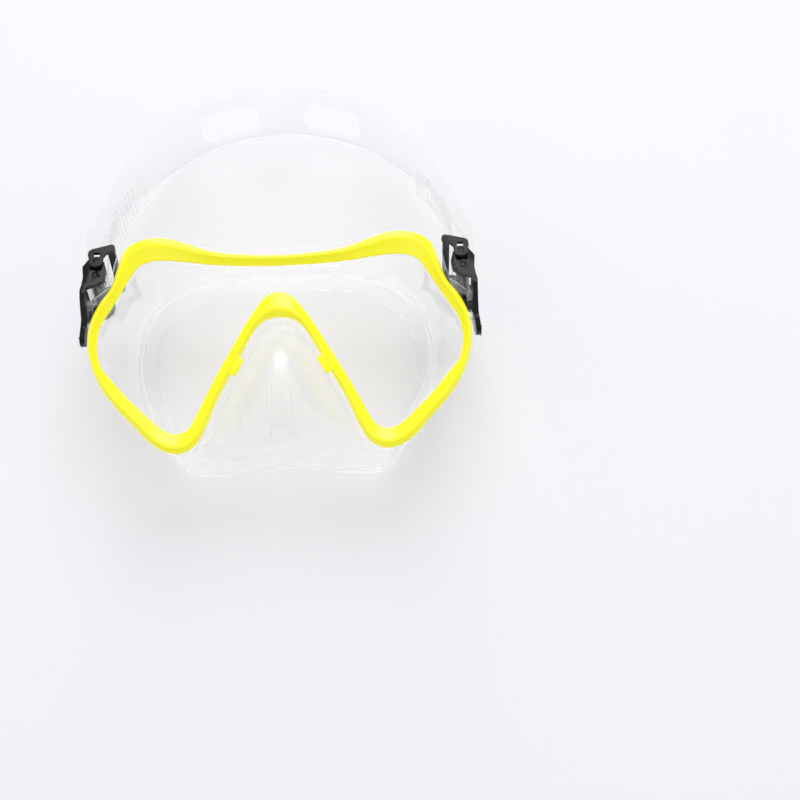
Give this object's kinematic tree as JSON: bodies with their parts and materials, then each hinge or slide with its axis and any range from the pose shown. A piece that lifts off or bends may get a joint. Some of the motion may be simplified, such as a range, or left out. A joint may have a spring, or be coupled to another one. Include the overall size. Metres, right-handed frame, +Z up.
{
  "type": "snorkel mask",
  "caption": "Single-lens snorkel mask: W-shaped pane in a clip-on frame, clear skirt with nose pocket, split head strap on swivelling side buckles.",
  "frame": {"origin": "middle of the footprint, on the table the mask lies on", "axes": "+Z up from the table and out of the lens, +Y to the forehead side where the strap lies, X from side to side"},
  "size_m": [0.1714, 0.164, 0.0779],
  "materials": {
    "lens_glass": "polished tempered glass, both faces",
    "yellow_frame": "satin gloss moulded plastic, bright lemon yellow",
    "clear_frame": "clear moulded polycarbonate",
    "clear_silicone": "clear silicone, glossy outside and matt at the lip",
    "strap_silicone": "clear silicone band, smooth",
    "black_plastic": "black moulded plastic, polished outside",
    "grey_plastic": "dark grey moulded plastic, satin",
    "steel": "stainless steel, drawn and blackened"
  },
  "bodies": {
    "mask": {"lens": "lens_glass", "outer_frame": "yellow_frame", "inner_frame": "clear_frame", "skirt": "clear_silicone"},
    "left_buckle": {"left_buckle_body": "black_plastic", "left_pivot_pin": "black_plastic", "left_pivot_cap": "grey_plastic", "left_roller_axle": "steel", "left_lever_pin": "steel", "left_lever_spring": "steel", "strap": "strap_silicone"},
    "right_buckle": {"right_buckle_body": "black_plastic", "right_pivot_pin": "black_plastic", "right_pivot_cap": "grey_plastic", "right_roller_axle": "steel", "right_lever_pin": "steel", "right_lever_spring": "steel"},
    "left_lever": {"left_lock_lever": "black_plastic"},
    "right_lever": {"right_lock_lever": "black_plastic"},
    "left_roller_spin": {"left_roller": "grey_plastic"},
    "right_roller_spin": {"right_roller": "grey_plastic"}
  },
  "joints": [
    {"name": "left_buckle_swing", "type": "hinge", "parent": "mask", "child": "left_buckle", "pos_m": [-0.0834, -0.01813, 0.04834], "axis": [1, 0, 0], "range_deg": [-90, 10]},
    {"name": "right_buckle_swing", "type": "hinge", "parent": "mask", "child": "right_buckle", "pos_m": [0.0834, -0.01813, 0.04834], "axis": [1, 0, 0], "range_deg": [-90, 10]},
    {"name": "left_lever_release", "type": "hinge", "parent": "left_buckle", "child": "left_lever", "pos_m": [-0.078, -0.00066, 0.04398], "axis": [0, -0.2419, -0.9703], "range_deg": [0, 8], "stiffness_Nm_per_rad": 0.02, "springref_deg": -20.05},
    {"name": "right_lever_release", "type": "hinge", "parent": "right_buckle", "child": "right_lever", "pos_m": [0.078, -0.00066, 0.04398], "axis": [0, 0.2419, 0.9703], "range_deg": [0, 8], "stiffness_Nm_per_rad": 0.02, "springref_deg": -20.05},
    {"name": "left_roller_turn", "type": "hinge", "parent": "left_buckle", "child": "left_roller_spin", "pos_m": [-0.0785, -0.006, 0.04531], "axis": [0, 0.2419, 0.9703], "continuous": true},
    {"name": "right_roller_turn", "type": "hinge", "parent": "right_buckle", "child": "right_roller_spin", "pos_m": [0.0785, -0.006, 0.04531], "axis": [0, 0.2419, 0.9703], "continuous": true}
  ],
  "couplings": [
    {"joint": "right_buckle_swing", "follows": "left_buckle_swing", "ratio": 1}
  ]
}
